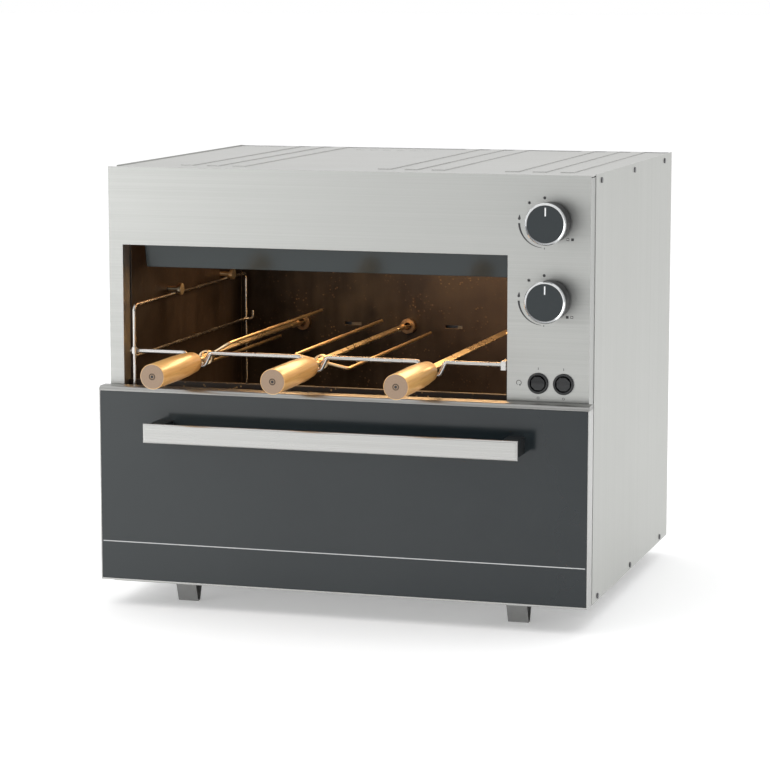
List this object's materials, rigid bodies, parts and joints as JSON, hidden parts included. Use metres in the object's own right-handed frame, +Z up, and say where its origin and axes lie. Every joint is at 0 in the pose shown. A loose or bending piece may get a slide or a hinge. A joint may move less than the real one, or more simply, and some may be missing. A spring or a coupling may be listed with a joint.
{
  "type": "rotisserie oven",
  "caption": "Countertop rotisserie oven with an open roasting window, turning skewers with wooden grips, gas knobs and a drop-down glass door.",
  "frame": {"origin": "middle of the whole object's box at the level of the feet", "axes": "+X to the user's right along the fascia, +Y from the user towards the back, +Z up"},
  "size_m": [0.581, 0.613, 0.511],
  "materials": {
    "brushed_steel": "vertical and horizontal brushed grain",
    "formed_steel": "plain bright sheet",
    "chamber_steel": "dark high-temperature paint with baked-on film",
    "bright_wire": "plated round wire",
    "blade_steel": "polished stainless",
    "dark_glass": "dark tempered glass, printed from behind",
    "clear_glass": "clear heat-proof glass",
    "satin_trim": "satin stainless",
    "door_enamel": "satin black enamel",
    "seal_rubber": "matt silicone",
    "black_moulding": "fine-grained moulding",
    "chrome_ring": "polished",
    "turned_wood": "oiled, turned",
    "gear_steel": "machined",
    "valve_brass": "machined",
    "stem_steel": "turned",
    "gas_pipe": "drawn tube",
    "burner_ceramic": "perforated infrared tile"
  },
  "bodies": {
    "cabinet": {"side_panel_left": "brushed_steel", "side_panel_right": "brushed_steel", "top_panel": "brushed_steel", "back_panel": "formed_steel", "base_pan": "formed_steel", "front_frame": "brushed_steel", "fascia": "brushed_steel", "hood_deflector": "formed_steel", "front_rail": "formed_steel", "feet": "formed_steel", "side_screws": "gear_steel", "liner_walls": "chamber_steel", "liner_top_and_floor": "chamber_steel", "burner_boxes": "chamber_steel", "burner_plaques": "burner_ceramic", "side_frames": "bright_wire", "hanging_studs": "bright_wire", "rest_bar": "bright_wire", "bar_clips": "bright_wire", "gear_carrier": "formed_steel", "spit_motor": "gear_steel", "hinge_ears": "formed_steel", "gas_valves": "valve_brass", "switch_bodies": "black_moulding", "gas_pipes": "gas_pipe", "gas_inlet": "valve_brass", "cord_gland": "seal_rubber", "spark_igniter": "black_moulding", "lamp_lens": "clear_glass"},
    "door": {"door_glass": "dark_glass", "door_top_trim": "satin_trim", "door_edge_trims": "satin_trim", "door_pan": "door_enamel", "door_seal": "seal_rubber", "door_handle": "satin_trim", "handle_arms": "black_moulding"},
    "stem_upper": {"valve_stem_upper": "stem_steel"},
    "knob_upper": {"knob_upper": "black_moulding", "knob_ring_upper": "chrome_ring"},
    "stem_lower": {"valve_stem_lower": "stem_steel"},
    "knob_lower": {"knob_lower": "black_moulding", "knob_ring_lower": "chrome_ring"},
    "rocker_left": {"rocker_left": "black_moulding"},
    "rocker_right": {"rocker_right": "black_moulding"},
    "drive_left": {"spit_drive_left": "gear_steel"},
    "drive_middle": {"spit_drive_middle": "gear_steel"},
    "drive_right": {"spit_drive_right": "gear_steel"},
    "idler_left": {"idler_gear_left": "gear_steel"},
    "idler_right": {"idler_gear_right": "gear_steel"},
    "pinion": {"motor_pinion": "gear_steel"},
    "spit_left": {"spit_blade_left": "blade_steel", "wood_grip_left": "turned_wood", "spit_fork_left": "bright_wire"},
    "spit_middle": {"spit_blade_middle": "blade_steel", "wood_grip_middle": "turned_wood", "spit_fork_middle": "bright_wire"},
    "spit_right": {"spit_blade_right": "blade_steel", "wood_grip_right": "turned_wood"},
    "rack": {"grill_rack": "bright_wire"},
    "tray": {"drip_tray": "chamber_steel"}
  },
  "joints": [
    {"name": "door_hinge", "type": "hinge", "parent": "cabinet", "child": "door", "pos_m": [0, -0.1795, 0.034], "axis": [1, 0, 0], "range_deg": [0, 78]},
    {"name": "valve_turn_upper", "type": "hinge", "parent": "cabinet", "child": "stem_upper", "pos_m": [0.2413, -0.1735, 0.4592], "axis": [0, -1, 0], "range_deg": [0, 190]},
    {"name": "knob_push_upper", "type": "slide", "parent": "stem_upper", "child": "knob_upper", "axis": [0, 1, 0], "range_m": [0, 0.003], "stiffness_N_per_m": 800},
    {"name": "valve_turn_lower", "type": "hinge", "parent": "cabinet", "child": "stem_lower", "pos_m": [0.2413, -0.1735, 0.373], "axis": [0, -1, 0], "range_deg": [0, 190]},
    {"name": "knob_push_lower", "type": "slide", "parent": "stem_lower", "child": "knob_lower", "axis": [0, 1, 0], "range_m": [0, 0.003], "stiffness_N_per_m": 800},
    {"name": "rocker_tilt_left", "type": "hinge", "parent": "cabinet", "child": "rocker_left", "pos_m": [0.2268, -0.1725, 0.2787], "axis": [1, 0, 0], "range_deg": [-16, 0]},
    {"name": "rocker_tilt_right", "type": "hinge", "parent": "cabinet", "child": "rocker_right", "pos_m": [0.2558, -0.1725, 0.2787], "axis": [1, 0, 0], "range_deg": [-16, 0]},
    {"name": "spit_turn_middle", "type": "hinge", "parent": "cabinet", "child": "drive_middle", "pos_m": [-0.0405, 0.2415, 0.2875], "axis": [0, 1, 0], "continuous": true},
    {"name": "spit_turn_left", "type": "hinge", "parent": "cabinet", "child": "drive_left", "pos_m": [-0.1815, 0.2415, 0.2875], "axis": [0, 1, 0], "continuous": true},
    {"name": "spit_turn_right", "type": "hinge", "parent": "cabinet", "child": "drive_right", "pos_m": [0.1005, 0.2415, 0.2875], "axis": [0, 1, 0], "continuous": true},
    {"name": "idler_turn_left", "type": "hinge", "parent": "cabinet", "child": "idler_left", "pos_m": [-0.111, 0.2465, 0.2875], "axis": [0, 1, 0], "continuous": true},
    {"name": "idler_turn_right", "type": "hinge", "parent": "cabinet", "child": "idler_right", "pos_m": [0.03, 0.2465, 0.2875], "axis": [0, 1, 0], "continuous": true},
    {"name": "pinion_turn", "type": "hinge", "parent": "cabinet", "child": "pinion", "pos_m": [-0.0405, 0.2465, 0.33175], "axis": [0, 1, 0], "continuous": true},
    {"name": "spit_pull_left", "type": "slide", "parent": "drive_left", "child": "spit_left", "axis": [0, -1, 0], "range_m": [0, 0.02]},
    {"name": "spit_pull_middle", "type": "slide", "parent": "drive_middle", "child": "spit_middle", "axis": [0, -1, 0], "range_m": [0, 0.02]},
    {"name": "spit_pull_right", "type": "slide", "parent": "drive_right", "child": "spit_right", "axis": [0, -1, 0], "range_m": [0, 0.02]},
    {"name": "rack_slide", "type": "slide", "parent": "cabinet", "child": "rack", "axis": [0, -1, 0], "range_m": [0, 0.15]},
    {"name": "tray_slide", "type": "slide", "parent": "cabinet", "child": "tray", "axis": [0, -1, 0], "range_m": [0, 0.1025]}
  ],
  "couplings": [
    {"joint": "spit_turn_left", "follows": "spit_turn_middle", "ratio": 1},
    {"joint": "spit_turn_right", "follows": "spit_turn_middle", "ratio": 1},
    {"joint": "idler_turn_left", "follows": "spit_turn_middle", "ratio": -1},
    {"joint": "idler_turn_right", "follows": "spit_turn_middle", "ratio": -1},
    {"joint": "pinion_turn", "follows": "spit_turn_middle", "ratio": -3.9167},
    {"joint": "rack_slide", "follows": "door_hinge", "m_per_rad": 0.11},
    {"joint": "tray_slide", "follows": "door_hinge", "m_per_rad": 0.075}
  ]
}
